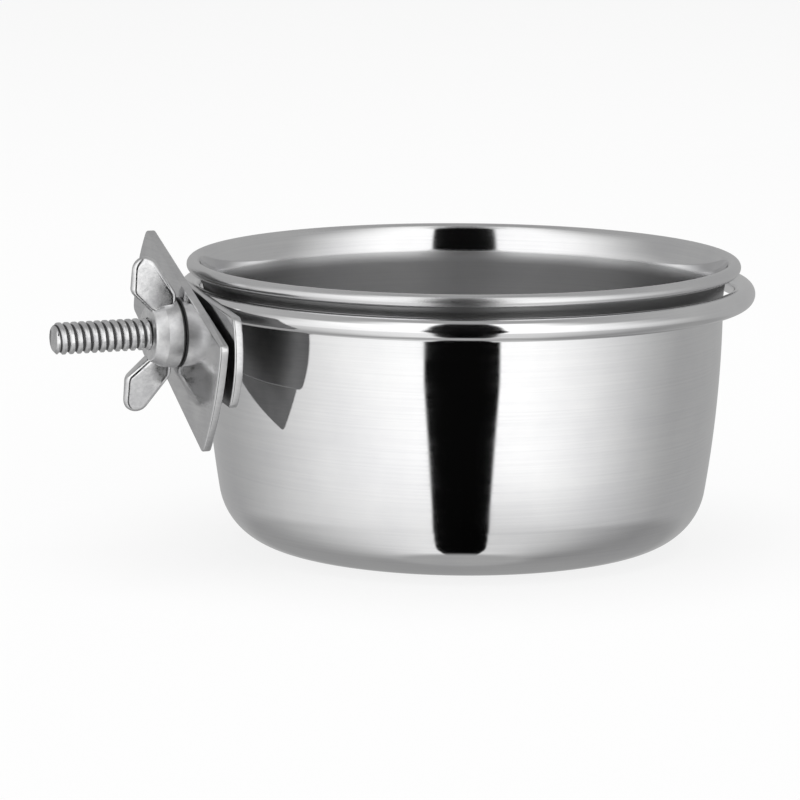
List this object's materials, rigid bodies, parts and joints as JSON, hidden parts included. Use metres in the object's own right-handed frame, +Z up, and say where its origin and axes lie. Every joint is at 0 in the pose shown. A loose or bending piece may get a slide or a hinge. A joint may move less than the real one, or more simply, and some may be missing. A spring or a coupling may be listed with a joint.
{
  "type": "seed cup",
  "caption": "Polished steel seed cup that hangs by its rolled rim in a ring of round rod, with a pair of plates on a threaded stud and wing nut to grip the wires of a cage.",
  "frame": {"origin": "middle of the underside of the cup's flat base", "axes": "+Z up, along the axis of the cup; the clamp's stud points along -X"},
  "size_m": [0.1461, 0.1166, 0.0641],
  "materials": {
    "cup": "polished",
    "holder_ring": "polished",
    "back_plate": "polished",
    "ring_welds": "satin",
    "clamp_stud": "polished",
    "clamp_plate": "polished",
    "wing_nut": "polished"
  },
  "bodies": {
    "holder": {"holder_ring": "holder_ring", "back_plate": "back_plate", "ring_welds": "ring_welds", "clamp_stud": "clamp_stud"},
    "cup": {"cup": "cup"},
    "clamp": {"clamp_plate": "clamp_plate"},
    "nut": {"wing_nut": "wing_nut"}
  },
  "joints": [
    {"name": "cup_lift", "type": "slide", "parent": "holder", "child": "cup", "axis": [0, 0, 1], "range_m": [-0.0012, 0.065]},
    {"name": "clamp_slide", "type": "slide", "parent": "holder", "child": "clamp", "axis": [-1, 0, 0], "range_m": [-0.0008, 0.018]},
    {"name": "nut_turn", "type": "hinge", "parent": "clamp", "child": "nut", "pos_m": [-0.06196, 0, 0.0458], "axis": [-1, 0, 0], "range_deg": [-181.41, 4081.88]}
  ],
  "couplings": [
    {"joint": "clamp_slide", "follows": "nut_turn", "m_per_rad": 0.00025266}
  ]
}
